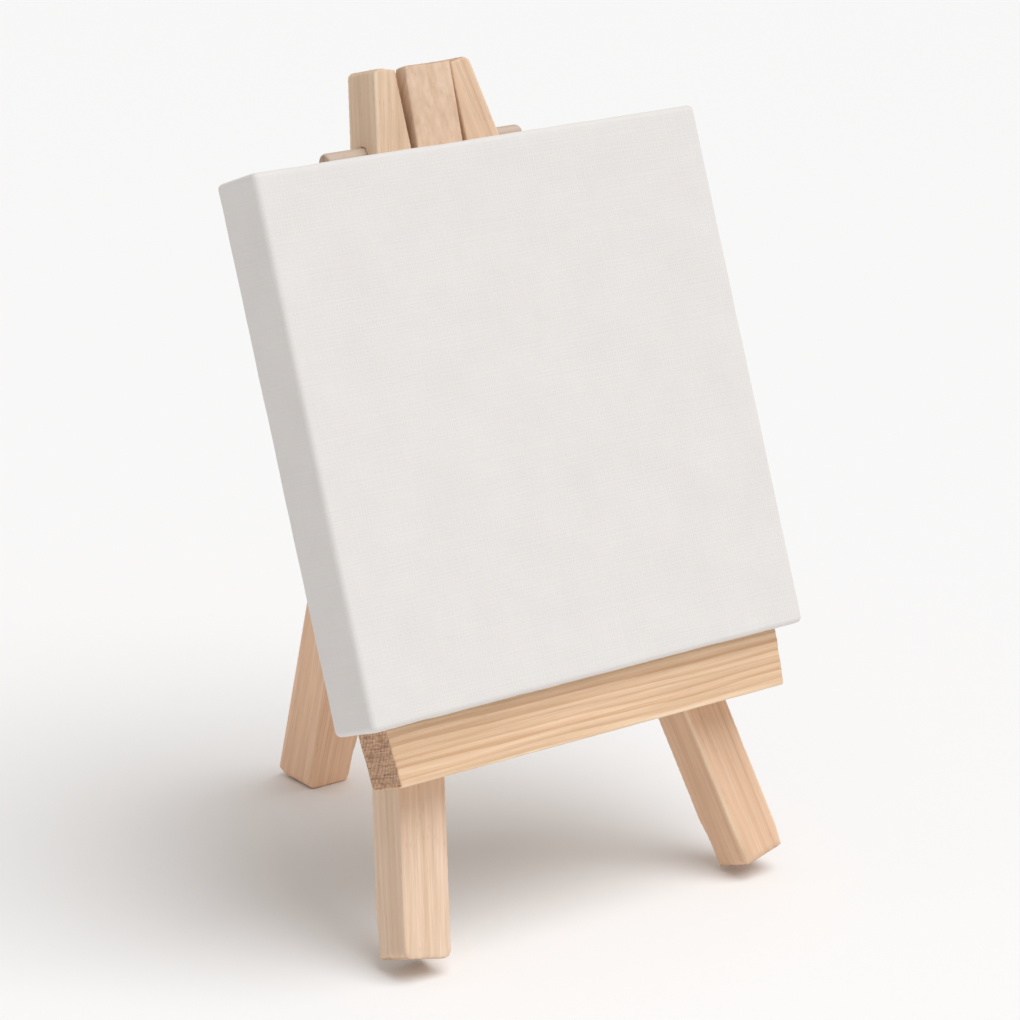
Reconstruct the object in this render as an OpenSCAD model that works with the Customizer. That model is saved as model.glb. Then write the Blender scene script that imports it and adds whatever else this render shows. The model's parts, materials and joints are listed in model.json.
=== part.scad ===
// Mini tabletop easel with a stretched square canvas.
// The front legs and the ledge lie in one plane that leans back. The canvas stands
// on the ledge and rests on that plane. The rear leg swings on a wooden dowel that
// runs through the tops of all three legs.
// The origin is on the table, under the middle of the easel. X is right, Y is back, Z is up.

/* [Stance] */
// Lean of the front legs back from upright, in degrees
lean = 21.5; // [16:0.5:26]
// Angle between the front legs' plane and the open rear leg, in degrees
spread = 35.5; // [32:0.5:38]

/* [Front legs] */
// Length of each front leg
leg_len = 129.4; // [123:0.2:140]
// Width of each leg, seen from the front
leg_w = 8.1; // [7:0.1:9]
// Thickness of each leg, front to back
leg_t = 7.4; // [7:0.1:9]
// Angle of each leg from the centre line, in degrees
splay = 12.3; // [10:0.1:14]
// Distance between the outer corners of the two leg tops
top_span = 17.2; // [15:0.1:20]
// Height of the leg tops above the ledge, along the leaning plane
leg_top = 93.4; // [90:0.1:100]
// Distance between the mitred inner faces at the tops
mitre_gap = 10.1; // [10:0.1:12]
// Radius of the rounded outer corner on each leg's top
top_round = 1.2; // [0.4:0.1:2]
// Angle by which the leg tops are cut off square, which leaves their backs higher
top_cut = 5.5; // [0:0.5:8]
// Flat planed along the long edges of every stick
ease = 0.2; // [0.1:0.1:0.8]

/* [Rear leg] */
// Width of the rear leg, seen from the front
rear_w = 8.4; // [7:0.1:8.8]
// Thickness of the rear leg in front of the dowel's centre
rear_front = 4.1; // [3.4:0.1:4.1]
// Thickness of the rear leg behind the dowel's centre
rear_back = 4.4; // [3.4:0.1:5]
// How far the rear leg sits to the right on its dowel, within its side play
rear_shift = 0.1; // [0:0.1:0.6]
// Angle of the bevel on the front of the rear leg's top, from the leg's own front face
bevel_deg = 31; // [29:0.5:32]
// Height above the dowel at which that bevel starts, along the rear leg
bevel_from = 2.2; // [2:0.1:3]
// Height of the rear leg's trimmed top above the ledge, along the leaning plane
rear_top = 92.9; // [91:0.1:95]
// Angle between the end of the open rear leg's foot and the table
foot_lift = 1; // [0:0.5:8]
// Radius of the rounded lower corners on the rear leg's foot
foot_round = 1.5; // [0.4:0.1:3]

/* [Hinge dowel] */
// Diameter of the dowel
dowel_d = 3; // [2.5:0.1:3.4]
// Length of the dowel
dowel_len = 36; // [28:0.5:40]
// Height of the dowel above the ledge, along the leaning plane
dowel_up = 81; // [80.8:0.1:82]
// Depth of the dowel's centre behind the front faces of the legs
dowel_in = 4.4; // [4.4:0.1:4.8]
// Radial clearance of the dowel in the rear leg
dowel_play = 0.05; // [0.02:0.01:0.1]

/* [Ledge] */
// Length of the ledge
ledge_len = 73.4; // [66:0.2:80]
// Height of the ledge's front
ledge_h = 8.7; // [7:0.1:10]
// Depth of the ledge, front to back
ledge_d = 7.5; // [6.5:0.1:10]
// Angle by which the ledge's ends are cut off square, which makes its bottom shorter
ledge_slant = 4; // [0:0.5:6]
// How far the ledge is nailed to the right of the middle
ledge_shift = 0.5; // [-2:0.1:2]
// Diameter of the nails that hold the ledge
nail_d = 1; // [0.8:0.1:1.2]
// Length of those nails
nail_len = 12; // [10:0.5:13]
// Diameter of the nail heads
nail_head_d = 2; // [1.6:0.1:2.4]

/* [Canvas] */
// Width of the canvas
canvas_w = 80.8; // [76:0.2:84]
// Height of the canvas
canvas_h = 80; // [76:1:80]
// How far the canvas stands to the right of the middle
canvas_shift = 0.3; // [-2:0.1:2]
// Thickness of the canvas, with its cloth
canvas_t = 10.2; // [9:0.1:12]
// Thickness of the primed cloth
cloth_t = 0.5; // [0.4:0.1:0.6]
// Width of the cloth that is folded onto the back
margin_w = 9; // [8:0.5:11]
// Width of the stretcher bars
bar_w = 12; // [11:0.5:14]
// Width of the raised lip along each bar's outer front edge
lip_w = 3; // [2:0.5:5]
// How far each bar's front face slopes away from the cloth
bar_relief = 1.2; // [0.8:0.1:2]

/* [Staples] */
// Width of a staple's crown
staple_w = 8; // [6:0.5:10]
// Length of a staple's legs
staple_leg = 4; // [3:0.5:5]
// Distance of the staples from the canvas's outer edge
staple_in = 5.2; // [4.5:0.1:6]
// Distance between neighbouring staples
staple_step = 21; // [18:0.5:22]

/* [Hidden] */

wood_front = "#E5C4A5";
wood_ledge = "#DEB791";
wood_rear = "#DDBB9A";
wood_bar = "#E3CDAA";
cloth_white = "#E9E4E2";
steel = "#B8BABD";

round_fn = 48;
gap = 1;                        // overshoot of every cutting solid

// Height of the front feet's lowest corners above the ledge, along the leaning plane
foot_z = leg_top - leg_len * cos(splay) - leg_w * sin(splay);
// The ledge's top rear edge, which is the leaning plane's own origin: its height above the table
plane_z = leg_t * sin(lean) - foot_z * cos(lean);
// The dowel's centre and the rear leg, measured upright from that origin
rear_tilt = spread - lean;
axle_y0 = dowel_in * cos(lean) + dowel_up * sin(lean);
axle_z = plane_z - dowel_in * sin(lean) + dowel_up * cos(lean);
rear_len = (axle_z - rear_front * sin(rear_tilt)) / cos(rear_tilt);
foot_cut = rear_tilt - foot_lift;
foot_chamfer = 1.5;
heel_len = rear_len + (rear_front + rear_back) * tan(foot_cut) - foot_chamfer;
// The foremost and rearmost edges, which centre the origin front to back
front_y = foot_z * sin(lean);
back_y = axle_y0 + heel_len * sin(rear_tilt) + rear_back * cos(rear_tilt);
plane_y = -(front_y + back_y) / 2;

nail_head_t = 0.5;
nail_proud = 0.2;               // how far a head stands out of the leg
nail_z = -ledge_h / 2;
// The nails stand on the middle line of each leg
nail_x = top_span / 2 + (leg_top - nail_z) * tan(splay) - leg_w / 2 / cos(splay);

dowel_chamfer = 0.3;

frame_w = canvas_w - 2 * cloth_t;
frame_h = canvas_h - 2 * cloth_t;
frame_t = canvas_t - 2 * cloth_t;
staple_t = 0.4;
staple_wire = 0.7;
staple_slants = [5, -4, 3];     // staples are never quite in line
v_nail_w = 4;
v_nail_t = 0.5;
v_nail_depth = 6;
v_nail_in = 5;                  // its corner's distance from the bar's outer edge

// The leaning frame: X right, Y back from the legs' front faces, Z up from the ledge's top
module leaning() {
    translate([0, plane_y, plane_z]) rotate([-lean, 0, 0]) children();
}

// The canvas's own frame: the leaning frame, moved to where the canvas stands
module standing() {
    leaning() translate([canvas_shift, 0, 0]) children();
}

// A stick's cross-section, w by t, with its corners planed off
module stick_section(w, t) {
    polygon([[ease, 0], [w - ease, 0], [w, ease], [w, t - ease],
             [w - ease, t], [ease, t], [0, t - ease], [0, ease]]);
}

// A solid drawn as a side view, Y and Z, and given a width along X
module side_profile(width) {
    rotate([90, 0, 90]) linear_extrude(height = width, center = true) children();
}

// What rounding takes off a corner at the origin that points to +X and +Z, across a depth along Y
module corner_waste(radius, depth) {
    translate([-radius, -gap, -radius]) difference() {
        cube([radius + gap, depth + 2 * gap, radius + gap]);
        translate([0, -gap, 0]) rotate([-90, 0, 0]) cylinder(r = radius, h = depth + 4 * gap, $fn = round_fn);
    }
}

// Right-hand front leg: a planed stick, mitred at the top to clear the rear leg
module front_leg() {
    difference() {
        translate([top_span / 2, 0, leg_top]) rotate([0, -splay, 0]) difference() {
            translate([-leg_w, 0, -leg_len]) linear_extrude(height = leg_len + leg_t) stick_section(leg_w, leg_t);
            rotate([top_cut, 0, 0]) {
                translate([-leg_w - gap, -gap, 0]) cube([leg_w + 2 * gap, leg_t + 3 * gap, 2 * leg_t]);
                corner_waste(top_round, leg_t + gap);
            }
        }
        translate([-mitre_gap / 2, -gap, 0]) cube([mitre_gap, leg_t + 2 * gap, leg_top + gap]);
        translate([0, dowel_in, dowel_up]) rotate([0, 90, 0])
            cylinder(d = dowel_d, h = dowel_len, $fn = round_fn);
        ledge_nail();
    }
}

module left_leg() {
    color(wood_front) leaning() mirror([1, 0, 0]) front_leg();
}

module right_leg() {
    color(wood_front) leaning() front_leg();
}

// Side outline of the rear leg about the dowel: foot with a blunted heel, trimmed and bevelled top
module rear_outline() {
    top_h = rear_top - dowel_up;
    bevel_len = (top_h + rear_front * sin(spread) - bevel_from * cos(spread)) / cos(spread - bevel_deg);
    polygon([
        [-rear_front, -rear_len],
        [rear_back - foot_chamfer, -heel_len - foot_chamfer + foot_chamfer * tan(foot_cut)],
        [rear_back, -heel_len],
        [rear_back, (top_h - rear_back * sin(spread)) / cos(spread)],
        [-rear_front + bevel_len * sin(bevel_deg), bevel_from + bevel_len * cos(bevel_deg)],
        [-rear_front, bevel_from],
    ]);
}

// Rear leg: turns about the dowel, and stands on the front edge of its foot
module rear_leg() {
    thickness = rear_front + rear_back;
    color(wood_rear)
        translate([rear_shift, plane_y + axle_y0, axle_z]) rotate([rear_tilt, 0, 0])
            difference() {
                intersection() {
                    side_profile(rear_w) rear_outline();
                    translate([-rear_w / 2, -rear_front, -rear_len - thickness])
                        linear_extrude(height = rear_len + rear_top - dowel_up + 2 * thickness)
                            stick_section(rear_w, thickness);
                }
                for (left = [0, 1]) mirror([left, 0, 0])
                    translate([rear_w / 2, -rear_front, -rear_len]) rotate([-foot_cut, 0, 0]) mirror([0, 0, 1])
                        corner_waste(foot_round, thickness + gap);
                rotate([0, 90, 0]) cylinder(d = dowel_d + 2 * dowel_play, h = rear_w + 2 * gap,
                                            center = true, $fn = round_fn);
            }
}

// Hinge dowel: glued in the front legs, with its ends standing out at both sides
module hinge_dowel() {
    color(wood_ledge) leaning() translate([0, dowel_in, dowel_up]) rotate([0, 90, 0]) {
        cylinder(d = dowel_d, h = dowel_len - 2 * dowel_chamfer, center = true, $fn = round_fn);
        for (end = [0, 1]) mirror([0, 0, end])
            translate([0, 0, dowel_len / 2 - dowel_chamfer])
                cylinder(d1 = dowel_d, d2 = dowel_d - 2 * dowel_chamfer, h = dowel_chamfer, $fn = round_fn);
    }
}

// Ledge that the canvas stands on, across the fronts of both legs
module ledge() {
    half = ledge_len / 2;
    half_below = half - ledge_h * tan(ledge_slant);
    color(wood_ledge) leaning() difference() {
        translate([ledge_shift, 0, 0]) intersection() {
            translate([-half, -ledge_d, -ledge_h]) rotate([90, 0, 90])
                linear_extrude(height = ledge_len) stick_section(ledge_d, ledge_h);
            rotate([90, 0, 0]) linear_extrude(height = ledge_d)
                polygon([[-half, 0], [half, 0], [half_below, -ledge_h], [-half_below, -ledge_h]]);
        }
        ledge_nail();
        mirror([1, 0, 0]) ledge_nail();
    }
}

// Round nail driven from the back of the right leg into the ledge, its head partly sunk
module ledge_nail() {
    translate([nail_x, leg_t + nail_proud, nail_z]) rotate([90, 0, 0]) {
        cylinder(d = nail_head_d, h = nail_head_t, $fn = round_fn);
        cylinder(d = nail_d, h = nail_len, $fn = round_fn);
    }
}

module ledge_nails() {
    color(steel) leaning() {
        ledge_nail();
        mirror([1, 0, 0]) ledge_nail();
    }
}

// Puts a bar's own frame on one edge of the canvas. In that frame X runs along the edge,
// Z points to the canvas's middle and Y = 0 is the back of the bar.
module on_edge(side) {
    half_w = frame_w / 2;
    half_h = frame_h / 2;
    standing() translate([0, -cloth_t, canvas_h / 2]) {
        if (side == "bottom") translate([0, 0, -half_h]) children();
        if (side == "top") mirror([0, 0, 1]) translate([0, 0, -half_h]) children();
        if (side == "left") translate([-half_w, 0, 0]) rotate([0, 90, 0]) children();
        if (side == "right") mirror([1, 0, 0]) translate([-half_w, 0, 0]) rotate([0, 90, 0]) children();
    }
}

// Stretcher bar, mitred at both ends, with a lip that keeps the cloth off its face
module bar(len) {
    difference() {
        intersection() {
            rotate([90, 0, 0]) linear_extrude(height = frame_t)
                polygon([[-len / 2, 0], [len / 2, 0], [len / 2 - bar_w, bar_w], [-len / 2 + bar_w, bar_w]]);
            side_profile(len)
                polygon([[0, 0], [-frame_t, 0], [-frame_t, lip_w], [bar_relief - frame_t, bar_w], [0, bar_w]]);
        }
        for (end = [0, 1]) mirror([end, 0, 0])
            translate([-len / 2, 0, 0]) v_nail();
        edge_staples();
    }
}

// V-shaped joining nail across a mitre, measured from the outer corner
module v_nail() {
    translate([v_nail_in, -v_nail_depth, v_nail_in]) {
        cube([v_nail_w, v_nail_depth, v_nail_t]);
        cube([v_nail_t, v_nail_depth, v_nail_w]);
    }
}

module corner_nails() {
    color(steel) standing() translate([0, -cloth_t, canvas_h / 2])
        for (right = [0, 1], upper = [0, 1])
            mirror([right, 0, 0]) mirror([0, 0, upper])
                translate([-frame_w / 2, 0, -frame_h / 2]) v_nail();
}

// One staple, its crown pressed into the cloth and its legs in the bar
module staple() {
    translate([-staple_w / 2, cloth_t - staple_t, -staple_wire / 2])
        cube([staple_w, staple_t, staple_wire]);
    for (end = [0, 1]) mirror([end, 0, 0])
        translate([-staple_w / 2, cloth_t - staple_leg, -staple_wire / 2])
            cube([staple_t, staple_leg, staple_wire]);
}

// The row of staples along one edge, in that edge's own frame
module edge_staples() {
    last = len(staple_slants) - 1;
    for (i = [0 : last])
        translate([(i - last / 2) * staple_step, 0, staple_in]) rotate([0, staple_slants[i], 0]) staple();
}

module stretcher_top() {
    color(wood_bar) on_edge("top") bar(frame_w);
}

module stretcher_bottom() {
    color(wood_bar) on_edge("bottom") bar(frame_w);
}

module stretcher_left() {
    color(wood_bar) on_edge("left") bar(frame_h);
}

module stretcher_right() {
    color(wood_bar) on_edge("right") bar(frame_h);
}

// Primed cloth: one sheet over the front and the sides, folded onto the back
module canvas_cloth() {
    color(cloth_white) difference() {
        standing() difference() {
            translate([-canvas_w / 2, -canvas_t, 0]) cube([canvas_w, canvas_t, canvas_h]);
            translate([-frame_w / 2, cloth_t - canvas_t, cloth_t]) cube([frame_w, frame_t, frame_h]);
            translate([margin_w - canvas_w / 2, -2 * cloth_t, margin_w])
                cube([canvas_w - 2 * margin_w, 2 * cloth_t + gap, canvas_h - 2 * margin_w]);
        }
        for (side = ["top", "bottom", "left", "right"]) on_edge(side) edge_staples();
    }
}

module staples_top() {
    color(steel) on_edge("top") edge_staples();
}

module staples_bottom() {
    color(steel) on_edge("bottom") edge_staples();
}

module staples_left() {
    color(steel) on_edge("left") edge_staples();
}

module staples_right() {
    color(steel) on_edge("right") edge_staples();
}

left_leg();
right_leg();
rear_leg();
hinge_dowel();
ledge();
ledge_nails();
stretcher_top();
stretcher_bottom();
stretcher_left();
stretcher_right();
corner_nails();
canvas_cloth();
staples_top();
staples_bottom();
staples_left();
staples_right();
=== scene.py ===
"""Looks of a mini tabletop easel with a square stretched canvas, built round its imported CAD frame.

Lengths are metres in the row frame, and MM turns millimetres into metres. Material patterns are written
in millimetres, in a frame of each piece's own: a stick's third axis runs along its grain.
"""

import json
import math

import bpy
import numpy as np
from mathutils import Matrix, Vector, noise


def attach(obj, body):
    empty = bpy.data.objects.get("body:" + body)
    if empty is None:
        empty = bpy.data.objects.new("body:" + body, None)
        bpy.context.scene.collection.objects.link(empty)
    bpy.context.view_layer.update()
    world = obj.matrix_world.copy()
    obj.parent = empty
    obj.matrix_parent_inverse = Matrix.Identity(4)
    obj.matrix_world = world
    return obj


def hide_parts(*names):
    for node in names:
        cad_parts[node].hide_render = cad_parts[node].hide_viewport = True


MM = 0.001

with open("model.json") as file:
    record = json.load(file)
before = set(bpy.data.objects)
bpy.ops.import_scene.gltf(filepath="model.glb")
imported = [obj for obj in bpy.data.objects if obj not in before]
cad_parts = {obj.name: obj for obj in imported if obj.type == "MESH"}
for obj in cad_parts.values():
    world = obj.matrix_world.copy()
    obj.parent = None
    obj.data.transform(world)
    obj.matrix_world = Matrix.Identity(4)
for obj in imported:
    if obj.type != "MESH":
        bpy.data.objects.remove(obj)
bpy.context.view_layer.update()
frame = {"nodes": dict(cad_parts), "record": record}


# ---------------------------------------------------------------- frames read from the CAD

PARALLEL, SQUARE = 0.9995, 0.02     # dot products of normals that count as parallel, and as at right angles


def axes_matrix(x, y, z, origin):
    """The 4x4 matrix of a frame with these axes and origin, in the row frame."""
    return Matrix.Translation(origin) @ Matrix((x, y, z)).transposed().to_4x4()


def canvas_frame():
    """X right, Y back through the canvas, Z up its face, from the centre of the painted face."""
    face = next(m for m in frame["record"]["mounts"] if m["name"] == "canvas_face")
    x = Vector((1, 0, 0))
    y = -Vector(face["axis"]).normalized()
    return axes_matrix(x, y, x.cross(y), Vector(face["pos_m"]))


def points_in(node, matrix):
    """A CAD node's vertices in the frame that this matrix gives, as rows."""
    inverse = np.array(matrix.inverted())
    co = np.array([v.co for v in frame["nodes"][node].data.vertices], float)
    return co @ inverse[:3, :3].T + inverse[:3, 3]


def stick_frame(node):
    """A frame along a stick, from its middle, and its half sizes: the third axis is its grain.

    The axes come from the normals of its largest flat faces, so a mitre doesn't tilt them.
    """
    faces = [(p.normal.copy(), p.area) for p in frame["nodes"][node].data.polygons]

    def largest(allowed):
        def rank(n):
            area_facing = sum(area for other, area in faces if abs(n.dot(other)) > PARALLEL)
            return round(area_facing / MM ** 2, 3), *n
        return max((n for n, _ in faces if allowed(n)), key=rank)

    a = largest(lambda n: True)
    b = largest(lambda n: abs(n.dot(a)) < SQUARE)
    b = (b - a * b.dot(a)).normalized()
    origin = Vector((0, 0, 0))

    def half_size(axis):
        along = points_in(node, axes_matrix(a, b, a.cross(b), origin)) @ np.array(axis)
        return (along.max() - along.min()) / 2

    lengths = [half_size(axis) for axis in ((1, 0, 0), (0, 1, 0), (0, 0, 1))]
    axes = [a, b, a.cross(b).normalized()]
    grain = lengths.index(max(lengths))
    order = [(grain + 1) % 3, (grain + 2) % 3, grain]
    turn = axes_matrix(*(axes[i] for i in order), origin)
    co = points_in(node, turn)
    middle = Vector((co.min(0) + co.max(0)) / 2)
    turn.translation = turn @ middle
    return turn, Vector((co.max(0) - co.min(0)) / 2)


# ---------------------------------------------------------------- node trees

class Tree:
    """Short names for the nodes that materials and reliefs are made of."""

    def __init__(self, tree):
        self.tree = tree

    def add(self, kind, inputs=None, out=0, **settings):
        node = self.tree.nodes.new(kind)
        for key, value in settings.items():
            setattr(node, key, value)
        for key, value in (inputs or {}).items():
            socket = node.inputs[key]
            if isinstance(value, bpy.types.NodeSocket):
                self.tree.links.new(value, socket)
            else:
                socket.default_value = value
        return node.outputs[out] if out is not None else node

    def math(self, operation, a, b=0.0, c=0.0):
        return self.add("ShaderNodeMath", {0: a, 1: b, 2: c}, operation=operation)

    def vector(self, operation, a, b=(0, 0, 0)):
        out = 1 if operation in ("DOT_PRODUCT", "LENGTH") else 0
        return self.add("ShaderNodeVectorMath", {0: a, 1: b}, out=out, operation=operation)

    def step(self, value, low, high):
        """0 at low and 1 at high, smooth between."""
        return self.add("ShaderNodeMapRange", {0: value, 1: low, 2: high},
                        interpolation_type="SMOOTHSTEP")

    def noise(self, at, scale, detail=2.0):
        """Noise about 0, mostly within a half. Its scale may differ along each axis."""
        value = self.add("ShaderNodeTexNoise", {"Vector": self.vector("MULTIPLY", at, scale),
                                                "Scale": 1.0, "Detail": detail})
        return self.math("MULTIPLY_ADD", value, 2.0, -1.0)

    def mix(self, share, a, b, blend="MIX"):
        return self.add("ShaderNodeMix", {0: share, 6: a, 7: b}, out=2,
                        data_type="RGBA", blend_type=blend)

    def total(self, start, *terms):
        """start plus each value times its weight."""
        for value, weight in terms:
            start = self.math("MULTIPLY_ADD", value, weight, start)
        return start

    def to_mm(self, point, matrix):
        """A point of the row frame, in millimetres of the frame that this matrix gives."""
        x, y, z, origin = (matrix.col[i].to_3d() for i in range(4))
        offset = self.vector("SUBTRACT", point, origin)
        along = {i: self.vector("DOT_PRODUCT", offset, axis / MM) for i, axis in enumerate((x, y, z))}
        return self.add("ShaderNodeCombineXYZ", along)

    def facing(self, normal, axis):
        """How squarely a surface faces along an axis, either way: 0 to 1."""
        return self.math("ABSOLUTE", self.vector("DOT_PRODUCT", normal, axis))


def material(name, sockets_of):
    """A new material with one Principled shader, whose sockets come from sockets_of(tree)."""
    made = bpy.data.materials.new(name)
    made.use_nodes = True
    made.node_tree.nodes.clear()
    tree = Tree(made.node_tree)
    shader = tree.add("ShaderNodeBsdfPrincipled", sockets_of(tree))
    tree.add("ShaderNodeOutputMaterial", {"Surface": shader}, out=None)
    return made


def screen(red, green, blue):
    """A colour given as 0 to 255 on a screen, as the linear colour that shaders take."""
    def linear(c):
        return c / 12.92 if c <= 0.04045 else ((c + 0.055) / 1.055) ** 2.4
    return (linear(red / 255), linear(green / 255), linear(blue / 255), 1.0)


# ---------------------------------------------------------------- wood

# Each look's tint for the feet is painted light. It lightens or shifts the colour low on a leg, where the
# canvas and ledge cast shade.
BEECH = dict(
    early=screen(229, 200, 172), late=screen(217, 182, 148), ring_pitch=2.2, ring_contrast=0.35,
    pith=(14.0, 9.0), wander=2.0, flecks=0.25, streaks=0.10, end_tint=screen(244, 238, 232), end_dark=0.35,
    foot_light_tint=(1.04, 1.05, 1.09, 1),
)
BEECH_RED = dict(BEECH, early=screen(227, 195, 166), late=screen(216, 176, 142), pith=(-9.0, 16.0),
                 foot_light_tint=(1.02, 0.97, 0.94, 1))
BEECH_PALE = dict(BEECH, early=screen(228, 199, 173), late=screen(215, 180, 148), pith=(17.0, -8.0),
                  foot_light_tint=(1.19, 1.08, 1.0, 1))
BIRCH = dict(BEECH, early=screen(202, 181, 164), late=screen(184, 159, 141), ring_pitch=0.9, pith=(2.0, 5.0))
PINE = dict(
    early=screen(231, 197, 163), late=screen(204, 158, 119), ring_pitch=0.66, ring_contrast=0.8,
    pith=(26.0, 21.0), wander=0.9, flecks=0.10, streaks=0.12, end_tint=screen(240, 232, 234), end_dark=0.8,
    foot_light_tint=(1, 1, 1, 1),
)
BAR_PINE = dict(PINE, early=screen(230, 206, 174), late=screen(210, 174, 132), ring_pitch=1.8,
                ring_contrast=0.6, pith=(8.0, 22.0))
FOOT_LIGHT_FADE = (15.0, 80.0)         # millimetres above the table over which the painted light at a leg's foot fades out
FLECK_TINT = screen(214, 196, 178)
# colour of the painted highlight along a stick's long edges
EDGE_HIGHLIGHT_TINT = screen(255, 250, 244)
END_DARK_TINT = screen(150, 140, 134)


def wood(name, stick, half, look, seed):
    """Planed wood: growth rings about a pith beside the stick, fibres, ray flecks and rough end grain, with
    painted light at the feet and a painted highlight along the long edges.
    """
    def sockets(t):
        coords = t.add("ShaderNodeTexCoord", out=None)
        at = t.vector("ADD", t.to_mm(coords.outputs["Object"], stick), (0, 0, 37.0 * seed))
        across = t.vector("SUBTRACT", t.vector("MULTIPLY", at, (1, 1, 0)), (*look["pith"], 0))
        radius = t.total(t.vector("LENGTH", across),
                         (t.noise(at, (0.10, 0.10, 0.010)), look["wander"]),
                         (t.noise(at, (0.5, 0.5, 0.035)), 0.35))
        ring = t.math("DIVIDE", radius, look["ring_pitch"])
        phase = t.math("FRACT", ring)
        late = t.math("SUBTRACT", t.step(phase, 0.25, 0.86), t.step(phase, 0.90, 1.0))
        strength = t.total(0.75, (t.noise(t.add("ShaderNodeCombineXYZ", {0: t.math("FLOOR", ring), 1: seed}),
                                          (0.71, 1, 1)), 0.9))
        late = t.math("MULTIPLY", late, t.math("MINIMUM", strength, 1.0))
        across_grain = t.facing(coords.outputs["Normal"], stick.col[2].to_3d())
        clear = t.total(1.0, (t.step(across_grain, 0.1, 0.5), -0.7))
        fibre = t.math("MULTIPLY", t.noise(at, (5.0, 5.0, 0.09), 4.0), clear)
        streak = t.noise(at, (1.1, 1.1, 0.02), 3.0)
        mottle = t.noise(at, (0.22, 0.22, 0.03))
        cells = t.add("ShaderNodeTexVoronoi", {"Vector": t.vector("MULTIPLY", at, (1.9, 1.9, 0.42)),
                                               "Scale": 1.0}, out=None)
        chosen = t.step(t.vector("DOT_PRODUCT", cells.outputs["Color"], (1, 0, 0)), 0.45, 0.75)
        off_fleck = t.step(cells.outputs["Distance"], 0.10, 0.26)
        fleck = t.math("MULTIPLY", chosen, t.math("SUBTRACT", 1.0, off_fleck))
        end = t.step(across_grain, 0.65, 0.9)
        from_middle = t.add("ShaderNodeSeparateXYZ", {
            0: t.vector("ABSOLUTE", t.to_mm(coords.outputs["Object"], stick))}, out=None)
        # how near a point is to the long edges, where a highlight is painted
        near = [t.step(from_middle.outputs[i], half[i] / MM - 0.7, half[i] / MM - 0.1) for i in (0, 1)]
        edge = t.math("MULTIPLY", *near)

        contrast = t.math("MULTIPLY", t.total(look["ring_contrast"], (end, 0.1)), late)
        colour = t.mix(contrast, look["early"], look["late"])
        light = t.total(1.0, (fibre, 0.16), (streak, 2 * look["streaks"]), (mottle, 0.08))
        colour = t.vector("MULTIPLY", colour, t.add("ShaderNodeCombineXYZ", {
            0: light, 1: t.math("POWER", light, 1.25), 2: t.math("POWER", light, 1.6)}))
        colour = t.mix(t.math("MULTIPLY", fleck, look["flecks"]), colour, FLECK_TINT, "MULTIPLY")
        height_mm = t.vector("DOT_PRODUCT", coords.outputs["Object"], (0, 0, 1 / MM))
        # Painted light: the colour low on each leg is lifted to make up for the shade under the canvas and
        # ledge.
        foot_light_share = t.math("SUBTRACT", 1.0, t.step(height_mm, *FOOT_LIGHT_FADE))
        colour = t.mix(foot_light_share, colour, look["foot_light_tint"], "MULTIPLY")
        saw = t.total(0.0,
                      (t.noise(at, (0.35, 4.5, 0.3), 3.0), 0.6),
                      (t.noise(at, (1.7, 1.7, 0.3), 4.0), 0.5))
        # Painted highlight: the long edges are lightened where rounded edges would catch the light.
        colour = t.mix(t.math("MULTIPLY", edge, 0.7), colour, EDGE_HIGHLIGHT_TINT, "SOFT_LIGHT")
        colour = t.mix(end, colour, look["end_tint"], "MULTIPLY")
        rough_dark = t.math("MULTIPLY", t.step(saw, -0.25, 0.45), look["end_dark"])
        colour = t.mix(t.math("MULTIPLY", end, rough_dark), colour, END_DARK_TINT, "MULTIPLY")
        height = t.total(0.0, (fibre, 0.030), (late, 0.020), (fleck, -0.020),
                         (t.math("MULTIPLY", end, saw), 0.12))
        return {
            "Base Color": colour,
            "Roughness": t.total(0.56, (fibre, 0.12), (end, 0.2), (late, -0.06)),
            "Specular IOR Level": 0.35,
            "Normal": t.add("ShaderNodeBump", {"Height": height, "Distance": MM, "Strength": 0.8}),
        }
    return material(name, sockets)


WELD_GAP = 0.001 * MM           # between vertices of a CAD mesh that are one point
WOOD_VOXEL = 0.27 * MM
SOFTEN_PASSES = 3
FOOT_ZONE = (4.0, 8.0)          # millimetres above the table between which the wear of the feet fades
BAR_SHRINK = 0.15               # millimetres that the bars draw back, so they don't show through the cloth

# How far each kind of unevenness moves a stick's surface, in millimetres
WARP, PLANING, SAWN_END, WORN_CORNER, WORN_FOOT = 0.06, 0.03, 0.10, 0.12, 0.38


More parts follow.
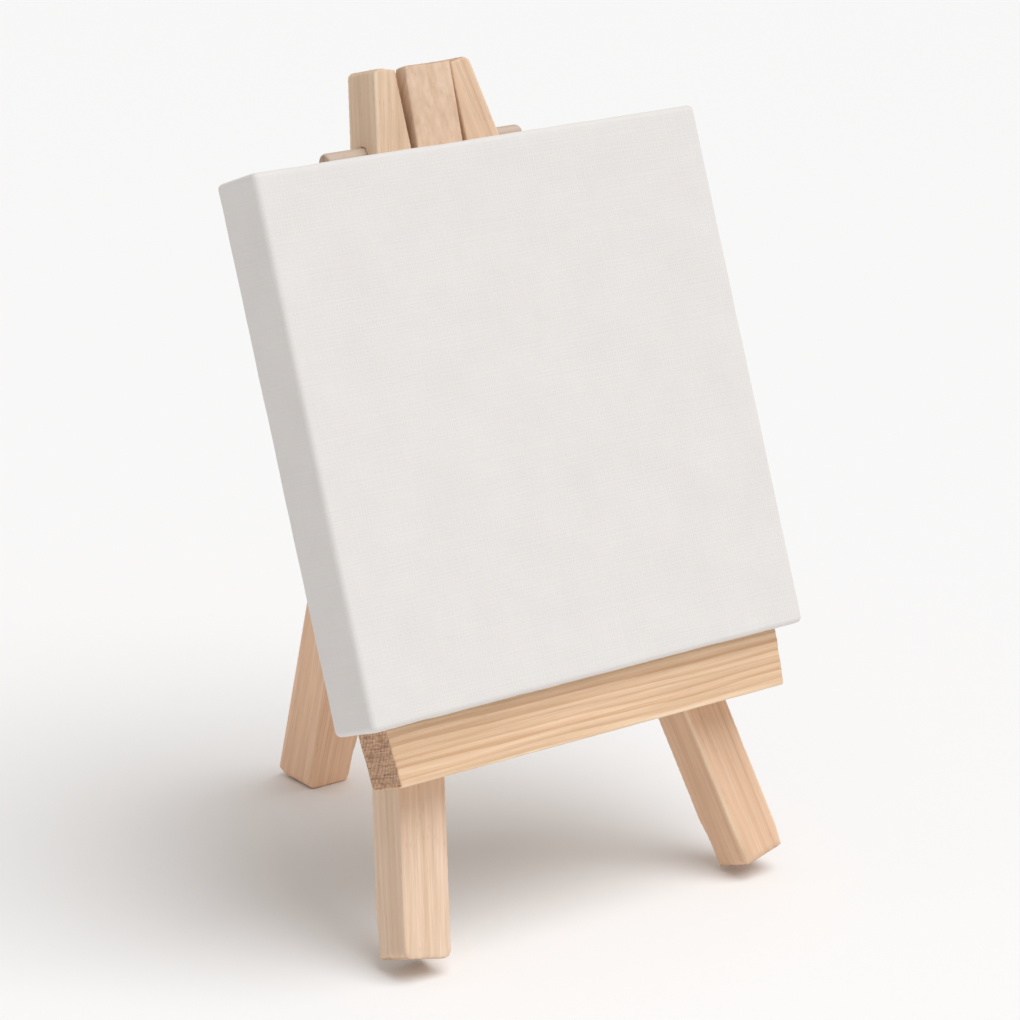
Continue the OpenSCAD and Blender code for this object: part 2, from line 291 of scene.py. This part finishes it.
def relief(node, stick, half):
    """Geometry nodes that give a stick its slight waviness, worn corners and rough sawn ends.

    They also draw the stretcher bars back a little from the cloth.
    """
    group = bpy.data.node_groups.new("relief_" + node, "GeometryNodeTree")
    group.interface.new_socket("Geometry", in_out="INPUT", socket_type="NodeSocketGeometry")
    group.interface.new_socket("Geometry", in_out="OUTPUT", socket_type="NodeSocketGeometry")
    t = Tree(group)
    mesh = t.add("NodeGroupInput")
    position = t.add("GeometryNodeInputPosition")
    at = t.to_mm(position, stick)
    normal = t.add("GeometryNodeInputNormal")
    across_grain = t.facing(normal, stick.col[2].to_3d())
    end = t.step(across_grain, 0.6, 0.9)
    sides = t.math("SUBTRACT", 1.0, t.step(across_grain, 0.1, 0.4))
    low = t.math("SUBTRACT", 1.0, t.step(t.vector("DOT_PRODUCT", position, (0, 0, 1 / MM)), *FOOT_ZONE))
    from_middle = t.add("ShaderNodeSeparateXYZ", {0: t.vector("ABSOLUTE", at)}, out=None)
    near = [t.step(from_middle.outputs[i], half[i] / MM - 1.2, half[i] / MM) for i in range(3)]
    corner = t.math("MAXIMUM", t.math("MULTIPLY", near[0], near[1]),
                    t.math("MULTIPLY", near[2], t.math("MAXIMUM", near[0], near[1])))
    worn = t.step(t.noise(at, (0.5, 0.5, 0.16), 3.0), 0.05, 0.6)
    height = t.total(-BAR_SHRINK if node.startswith("stretcher") else 0.0,
                     (t.noise(at, (0.09, 0.09, 0.03)), WARP),
                     (t.math("MULTIPLY", sides, t.noise(at, (1.3, 1.3, 0.06))), PLANING),
                     (t.math("MULTIPLY", end, t.noise(at, (1.4, 1.4, 0.2), 3.0)), SAWN_END),
                     (t.math("MULTIPLY", corner, worn), -WORN_CORNER),
                     (t.math("MULTIPLY", corner, low), -WORN_FOOT))
    offset = t.add("ShaderNodeVectorMath", {0: normal, 3: t.math("MULTIPLY", height, MM)}, operation="SCALE")
    moved = t.add("GeometryNodeSetPosition", {"Geometry": mesh, "Offset": offset})
    t.add("NodeGroupOutput", {0: moved}, out=None)
    return group


def dress_stick(node, look, seed):
    """Gives a CAD stick softened edges, a worn surface and its wood. The CAD mesh itself stays as it is."""
    stick, half = stick_frame(node)
    o = frame["nodes"][node]
    o.modifiers.new("close_seams", "WELD").merge_threshold = WELD_GAP
    fine = o.modifiers.new("fine_mesh", "REMESH")
    fine.mode, fine.voxel_size, fine.use_smooth_shade = "VOXEL", WOOD_VOXEL, True
    soft = o.modifiers.new("soft_edges", "SMOOTH")
    soft.factor, soft.iterations = 0.5, SOFTEN_PASSES
    o.modifiers.new("relief", "NODES").node_group = relief(node, stick, half)
    o.material_slots[0].material = wood("wood_" + node, stick, half, look, seed)


for seed, (node, look) in enumerate({
    "left_leg": BEECH, "right_leg": BEECH_RED, "rear_leg": BEECH_PALE, "ledge": PINE, "hinge_dowel": BIRCH,
    "stretcher_top": BAR_PINE, "stretcher_bottom": BAR_PINE,
    "stretcher_left": BAR_PINE, "stretcher_right": BAR_PINE,
}.items()):
    dress_stick(node, look, seed)


# ---------------------------------------------------------------- steel

WIRE_ROUNDING = 0.12 * MM
SHARP_EDGE = 0.6                # radians between two faces from which their edge is rounded


def steel_sockets(t):
    at = t.vector("MULTIPLY", t.add("ShaderNodeTexCoord", out=3), (1 / MM,) * 3)
    dull = t.noise(at, (1.5, 1.5, 1.5), 3.0)
    scratch = t.noise(at, (2.0, 14.0, 14.0), 2.0)
    return {
        "Base Color": t.mix(t.step(dull, 0.0, 0.5), screen(196, 198, 202), screen(164, 164, 166)),
        "Metallic": 1.0,
        "Roughness": t.total(0.34, (dull, 0.2), (scratch, 0.12)),
        "Normal": t.add("ShaderNodeBump", {"Height": scratch, "Distance": 0.01 * MM, "Strength": 0.6}),
    }


steel = material("galvanised_wire", steel_sockets)
for node in ("ledge_nails", "corner_nails", "staples_top", "staples_bottom", "staples_left", "staples_right"):
    o = frame["nodes"][node]
    o.modifiers.new("close_seams", "WELD").merge_threshold = WELD_GAP
    rounded = o.modifiers.new("rounded_edges", "BEVEL")
    rounded.width, rounded.segments = WIRE_ROUNDING, 3
    rounded.limit_method, rounded.angle_limit = "ANGLE", SHARP_EDGE
    o.material_slots[0].material = steel


# ---------------------------------------------------------------- canvas cloth

EDGE_RADIUS = 0.9 * MM          # of the stretched cloth round its bars
ARC_STEPS = 6
CLOTH_T = 0.3 * MM
MARGIN_W = 9.0 * MM             # of the cloth folded onto the back
MARGIN_STEP = 0.5 * MM
CLOTH_STEP = 0.85 * MM
FOLD = 0.30 * MM                # how far a folded-over layer stands out
FACE_DIP = 0.12 * MM            # how far the painted face lies below its rim
STAPLE_GAP = 5 * MM             # more than a staple's width, less than the space between two
STAPLE_DENT = 0.16 * MM         # how far a staple presses into the cloth
STAPLE_PULL = 0.07 * MM         # how far the cloth on the sides draws in beside a staple
CUT_DRIFT = 0.007               # unevenness of the cut edge, as a share of its distance from the middle
WEAVE_PITCH = 0.5               # millimetres from thread to thread


def smooth(value, low, high):
    """0 at low and 1 at high, smooth between, for numbers and arrays."""
    s = np.clip((value - low) / (high - low), 0, 1)
    return s * s * (3 - 2 * s)


def cloth_lines(length, margin):
    """Grid lines along one side of the slab: even arcs over both rounded edges, even steps between."""
    turn = [EDGE_RADIUS * (1 - math.tan(math.radians(45 * k / ARC_STEPS))) for k in range(ARC_STEPS, 0, -1)]
    strip = np.arange(EDGE_RADIUS, margin, MARGIN_STEP) if margin else []
    start = margin or EDGE_RADIUS
    middle = np.linspace(start, length - start, round((length - 2 * start) / CLOTH_STEP) + 1)
    half = turn + list(strip)
    return np.array(half + list(middle) + [length - s for s in reversed(half)])


def staple_places():
    """Centre and direction of each staple's crown, in the canvas frame, with Z from the middle."""
    places = []
    for side in ("top", "bottom", "left", "right"):
        co = points_in("staples_" + side, CANVAS)
        along = 0 if side in ("top", "bottom") else 2
        co = co[np.argsort(co[:, along])]
        splits = np.nonzero(np.diff(co[:, along]) > STAPLE_GAP)[0] + 1
        for group in np.split(co, splits):
            crown = group[group[:, 1] > group[:, 1].max() - 0.1 * MM]
            ends = crown[np.argsort(crown[:, along])]
            places.append((crown.mean(0), ends[-2:].mean(0) - ends[:2].mean(0)))
    return places


def cloth_height(p, out, size):
    """How far the cloth stands out at each point, from its folds, staples, tension and small unevenness.

    p holds points of the slab measured from its front, lower left corner, and out their outward normals.
    """
    w, t, h = size
    from_side = np.minimum(p[:, 0], w - p[:, 0])
    from_end = np.minimum(p[:, 2], h - p[:, 2])
    back = smooth(out[:, 1], 0.3, 0.9)
    front = smooth(-out[:, 1], 0.3, 0.9)
    ends = smooth(np.abs(out[:, 2]), 0.3, 0.9)
    corner = 1 - smooth(from_side, 6 * MM, 9 * MM)
    tucked = smooth(from_side - from_end, -0.1 * MM, 0.6 * MM) * corner
    gusset = 1 - smooth(from_side - 0.8 * MARGIN_W * p[:, 1] / t, -0.3 * MM, 0.5 * MM)
    height = -FOLD * (back * (1 - tucked) + ends * (1 - gusset) * smooth(p[:, 1], 0.15 * t, 0.9 * t))
    inset = np.minimum(from_side, from_end)
    height -= FACE_DIP * front * smooth(inset, 1.5 * MM, 9 * MM)
    for centre, run in STAPLES:
        length = np.linalg.norm(run)
        offset = p - np.array((w / 2, 0, h / 2)) - centre
        along = offset @ (run / length)
        beside = np.delete(offset, 1, axis=1) - np.outer(along, np.delete(run / length, 1))
        across = np.linalg.norm(beside, axis=1)
        beyond = smooth(np.abs(along), length / 2, length / 2 + 1.2 * MM)
        pressed = np.exp(-(across / (0.8 * MM)) ** 2) * (1 - beyond)
        height -= STAPLE_DENT * back * pressed
        pull = np.exp(-(along / (3.5 * MM)) ** 2) * np.exp(-(inset / (4 * MM)) ** 2)
        reach = 1 - smooth(across, 6 * MM, 14 * MM)
        height -= STAPLE_PULL * (1 - front) * (1 - back) * pull * reach
    broad, fine = (np.array([noise.noise(Vector(q) / (size_mm * MM)) for q in p]) for size_mm in (6, 2.2))
    wave = broad + 0.5 * fine
    return height + wave * MM * (0.05 + 0.05 * back + 0.03 * ends)


def cloth_mesh(size):
    """The stretched cloth's outer surface: front, four sides, and a margin folded onto the back."""
    w, t, h = size
    lines = [cloth_lines(w, MARGIN_W), cloth_lines(t, 0), cloth_lines(h, MARGIN_W)]
    ids, rows, faces, weave = {}, [], [], []

    def vertex(key):
        if key not in ids:
            ids[key] = len(rows)
            rows.append([lines[axis][key[axis]] for axis in range(3)])
        return ids[key]

    for axis in range(3):
        u, v = (axis + 1) % 3, (axis + 2) % 3
        for end in (0, len(lines[axis]) - 1):
            for a in range(len(lines[u]) - 1):
                for b in range(len(lines[v]) - 1):
                    keys = []
                    for da, db in ((0, 0), (1, 0), (1, 1), (0, 1)):
                        key = [end, end, end]
                        key[u], key[v] = a + da, b + db
                        keys.append(tuple(key))
                    quad = [vertex(key) for key in (keys if end else reversed(keys))]
                    x, _, z = np.mean([rows[q] for q in quad], axis=0)
                    if axis == 1 and end and min(x, w - x, z, h - z) > MARGIN_W:
                        continue
                    faces.append(quad)
                    for q in quad:
                        x, y, z = rows[q]
                        x += (0 if axis else y if end else -y)
                        z += (0 if axis < 2 else y if end else -y)
                        weave.append((x / MM, z / MM, 0))
    p = np.array(rows)
    opening = np.array((w, h)) - 2 * MARGIN_W
    from_middle = np.abs(p[:, (0, 2)] - np.array((w, h)) / 2)
    cut = (p[:, 1] == t) & (np.abs((from_middle - opening / 2).max(1)) < 0.01 * MM)
    core = np.clip(p, EDGE_RADIUS, np.array(size) - EDGE_RADIUS)
    out = (p - core) / np.linalg.norm(p - core, axis=1, keepdims=True)
    placed = core + out * (EDGE_RADIUS + cloth_height(p, out, size))[:, None] - np.array((w / 2, 0, h / 2))
    for i in np.nonzero(cut)[0]:
        drift = noise.noise(Vector(p[i]) / (4 * MM)) + noise.noise(Vector(p[i]) / MM) * 0.5
        placed[i, (0, 2)] *= 1 + CUT_DRIFT * min(max(drift, -1), 1)

    mesh = bpy.data.meshes.new("canvas_cover")
    mesh.from_pydata([CANVAS @ Vector(q) for q in placed], [], faces)
    mesh.attributes.new("weave", "FLOAT_VECTOR", "CORNER").data.foreach_set("vector", np.ravel(weave))
    mesh.shade_smooth()
    return mesh


def woven_sockets(dark, light, relief_mm, rough):
    """Plain-woven cotton whose threads wander and thicken. The dark and light colours mottle it."""
    def sockets(t):
        at = t.add("ShaderNodeAttribute", out=1, attribute_name="weave")
        drift = t.add("ShaderNodeCombineXYZ", {
            0: t.noise(at, (0.5, 0.03, 1)),
            1: t.noise(at, (0.03, 0.5, 1))})
        wandering = t.vector("ADD", at, t.vector("MULTIPLY", drift, (0.6, 0.6, 0)))
        wavy = t.add("ShaderNodeSeparateXYZ", {0: wandering}, out=None)
        waves = [t.math("SINE", t.math("MULTIPLY", wavy.outputs[i], math.pi / WEAVE_PITCH)) for i in (0, 1)]
        over = t.math("MULTIPLY", *waves)
        threads = t.math("ADD", *(t.math("ABSOLUTE", wave) for wave in waves))
        thick = t.math("ADD", t.noise(at, (2.0, 0.12, 1), 3.0), t.noise(at, (0.12, 2.0, 1), 3.0))
        mottle = t.noise(at, (0.12, 0.12, 1), 3.0)
        grit = t.noise(at, (5.0, 5.0, 1), 3.0)
        slub = t.math("MULTIPLY", t.step(t.noise(at, (0.22, 2.6, 1)), 0.62, 0.8), t.step(grit, -0.4, 0.3))
        tone = t.total(0.35, (threads, 0.12), (thick, 0.2), (mottle, 0.5), (grit, 0.2), (slub, -0.7))
        height = t.total(0.0, (threads, relief_mm), (over, 0.3 * relief_mm), (thick, 1.2 * relief_mm),
                         (grit, 0.5 * relief_mm), (slub, 2.0 * relief_mm))
        return {
            "Base Color": t.mix(t.add("ShaderNodeClamp", {0: tone}), dark, light),
            "Roughness": t.total(rough, (grit, 0.15)),
            "Specular IOR Level": 0.25,
            "Normal": t.add("ShaderNodeBump", {"Height": height, "Distance": MM, "Strength": 0.7}),
        }
    return sockets


CANVAS = canvas_frame()
STAPLES = staple_places()
cloth_points = points_in("canvas_cloth", CANVAS)
cover = bpy.data.objects.new("canvas_cover", cloth_mesh(cloth_points.max(0) - cloth_points.min(0)))
bpy.context.scene.collection.objects.link(cover)
cover.data.materials.append(material("primed_cotton", woven_sockets(
    screen(226, 222, 219), screen(234, 230, 227), 0.016, 0.8)))
cover.data.materials.append(material("raw_cotton", woven_sockets(
    screen(220, 211, 194), screen(238, 231, 217), 0.05, 0.92)))
shell = cover.modifiers.new("cloth_thickness", "SOLIDIFY")
shell.thickness, shell.offset = CLOTH_T, -1
shell.material_offset = shell.material_offset_rim = 1
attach(cover, "canvas")
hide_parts("canvas_cloth")


# ---------------------------------------------------------------- floor, light and camera

FLOOR_SOCKETS = {"Base Color": (0.95, 0.95, 0.95, 1), "Roughness": 0.7, "Specular IOR Level": 0.2}
FLOOR_HALF = 4.0                # metres
floor_mesh = bpy.data.meshes.new("floor")
floor_mesh.from_pydata([(x * FLOOR_HALF, y * FLOOR_HALF, 0) for x, y in ((-1, -1), (1, -1), (1, 1), (-1, 1))],
                       [], [(0, 1, 2, 3)])
floor_mesh.materials.append(material("pale_floor", lambda t: FLOOR_SOCKETS))
floor = bpy.data.objects.new("floor", floor_mesh)
bpy.context.scene.collection.objects.link(floor)


def back_direction(azimuth, elevation):
    """From the object towards a viewer. Azimuth 0 is straight in front, 90 is from the right."""
    a, e = math.radians(azimuth), math.radians(elevation)
    return Vector((math.sin(a) * math.cos(e), -math.cos(a) * math.cos(e), math.sin(e)))


def soft_sun(name, azimuth, elevation, softness, power, tint):
    """A distant light with a wide disc, whose softness is the disc's width in degrees."""
    lamp = bpy.data.lights.new(name, "SUN")
    lamp.angle, lamp.energy, lamp.color = math.radians(softness), power, tint
    o = bpy.data.objects.new(name, lamp)
    o.rotation_euler = back_direction(azimuth, elevation).to_track_quat("Z", "Y").to_euler()
    bpy.context.scene.collection.objects.link(o)


SKY, BACKDROP = 0.48, 0.95          # brightness of the surroundings, as light and as seen
SKY_TINT = (1.0, 0.975, 0.955, 1)
KEY_TINT = (0.975, 0.988, 1.0)
WHITE = (1, 1, 1, 1)
world = bpy.data.worlds.new("soft_daylight")
world.use_nodes = True
world.node_tree.nodes.clear()
sky = Tree(world.node_tree)
seen = sky.add("ShaderNodeLightPath", out=0)
strength = sky.math("MULTIPLY_ADD", seen, BACKDROP - SKY, SKY)
glow = sky.add("ShaderNodeBackground", {"Color": sky.mix(seen, SKY_TINT, WHITE), "Strength": strength})
sky.add("ShaderNodeOutputWorld", {"Surface": glow}, out=None)
bpy.context.scene.world = world
soft_sun("key", azimuth=25, elevation=65, softness=50, power=1.9, tint=KEY_TINT)

CAMERA_AZIMUTH, CAMERA_ELEVATION, CAMERA_ROLL = -38.45, 18.05, 1.05
CAMERA_DISTANCE = 0.6081
LENS, SENSOR_WIDTH = 142.84, 36.0   # millimetres
CAMERA_TARGET = Vector((0.0060, -0.0072, 0.0554))
back = back_direction(CAMERA_AZIMUTH, CAMERA_ELEVATION)
camera_data = bpy.data.cameras.new("camera")
camera_data.lens, camera_data.sensor_width = LENS, SENSOR_WIDTH
camera = bpy.data.objects.new("camera", camera_data)
camera.matrix_world = (Matrix.Translation(CAMERA_TARGET + back * CAMERA_DISTANCE)
                       @ back.to_track_quat("Z", "Y").to_matrix().to_4x4()
                       @ Matrix.Rotation(math.radians(CAMERA_ROLL), 4, "Z"))
bpy.context.scene.collection.objects.link(camera)
bpy.context.scene.camera = camera
bpy.context.scene.view_settings.view_transform = "Standard"
